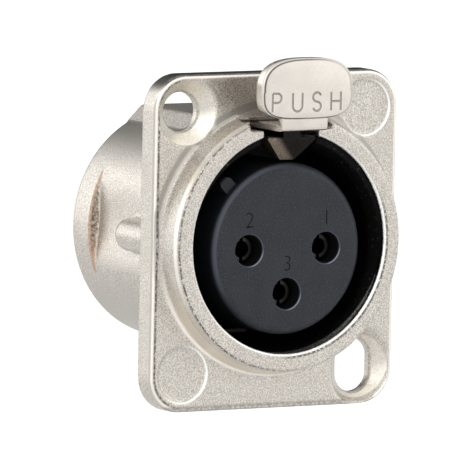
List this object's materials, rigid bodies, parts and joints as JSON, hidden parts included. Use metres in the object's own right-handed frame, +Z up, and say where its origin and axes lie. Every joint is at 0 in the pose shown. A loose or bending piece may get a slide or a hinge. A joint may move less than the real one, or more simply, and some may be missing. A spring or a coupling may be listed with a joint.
{
  "type": "xlr panel socket",
  "caption": "Panel socket for a round audio plug: nickel flange and barrel, dark contact insert, latch hook and a push tab that releases the plug.",
  "frame": {"origin": "centre of the contact insert's front face, on the plug's axis", "axes": "+Y into the socket, the way the plug goes in; +Z up, towards the push tab; +X to the right as seen from the front"},
  "size_m": [0.026, 0.0313, 0.0327],
  "materials": {
    "cast_nickel": "satin nickel plate on a grainy zinc die casting",
    "insert_plastic": "blue-grey black, glass-filled nylon, matte",
    "carrier_plastic": "black, moulded, matte",
    "contact_metal": "silver-plated bronze, slightly dull",
    "lever_nickel": "smooth bright nickel plate",
    "spring_steel": "dark oiled spring steel"
  },
  "bodies": {
    "housing": {"shell": "cast_nickel", "socket_insert": "insert_plastic", "rear_carrier": "carrier_plastic", "contact_1": "contact_metal", "contact_2": "contact_metal", "contact_3": "contact_metal", "ground_contact": "contact_metal"},
    "lever": {"push_lever": "lever_nickel"},
    "hook": {"latch_hook": "spring_steel"}
  },
  "joints": [
    {"name": "push_lever_swing", "type": "hinge", "parent": "housing", "child": "lever", "pos_m": [0, 0.0035, 0.01132], "axis": [-1, 0, 0], "range_deg": [0, 16], "stiffness_Nm_per_rad": 0.02, "springref_deg": -17.19},
    {"name": "latch_hook_lift", "type": "hinge", "parent": "housing", "child": "hook", "pos_m": [0, 0.0124, 0.00985], "axis": [-1, 0, 0], "range_deg": [0, 5.34]}
  ],
  "couplings": [
    {"joint": "latch_hook_lift", "follows": "push_lever_swing", "ratio": 0.3308}
  ]
}
